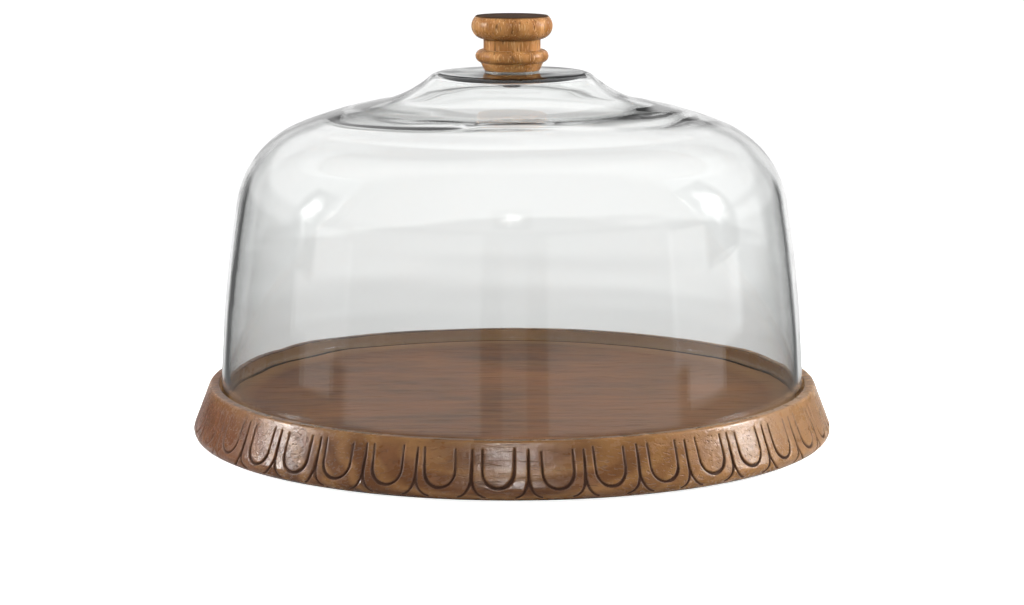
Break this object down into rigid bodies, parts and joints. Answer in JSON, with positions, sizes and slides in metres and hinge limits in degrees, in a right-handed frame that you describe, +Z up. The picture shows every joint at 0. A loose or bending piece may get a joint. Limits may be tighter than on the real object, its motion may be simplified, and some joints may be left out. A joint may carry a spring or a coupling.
{
  "type": "glass cake dome with wood tray",
  "caption": "Clear blown-glass cake dome with a turned wood knob, standing in a recessed round wood tray with a carved band of U shapes.",
  "frame": {"origin": "on the table, under the middle of the tray", "axes": "+Z up along the axis of the dome and knob, -Y towards the viewer"},
  "size_m": [0.33, 0.33, 0.217],
  "materials": {
    "tray_wood": "stained brown, satin lacquer, dark carved grooves",
    "knob_wood": "golden brown, satin lacquer",
    "clear_glass": "clear, glossy, slightly wavy blown surface",
    "clear_vinyl": "translucent, soft",
    "zinc_steel": "zinc plated",
    "dark_steel": "dark plated steel",
    "insert_brass": "plain turned brass",
    "felt": "brown felt"
  },
  "bodies": {
    "tray": {"tray": "tray_wood", "foot_pad_1": "felt", "foot_pad_2": "felt", "foot_pad_3": "felt", "foot_pad_4": "felt"},
    "dome": {"glass_dome": "clear_glass", "upper_gasket": "clear_vinyl", "flanged_bush": "clear_vinyl", "steel_washer": "zinc_steel", "screw": "dark_steel"},
    "knob": {"knob": "knob_wood", "threaded_insert": "insert_brass"}
  },
  "joints": [
    {"name": "dome_lift", "type": "slide", "parent": "tray", "child": "dome", "axis": [0, 0, 1], "range_m": [0, 0.2]},
    {"name": "knob_turn", "type": "hinge", "parent": "dome", "child": "knob", "pos_m": [0, 0, 0.2], "axis": [0, 0, 1], "range_deg": [0, 360]}
  ]
}
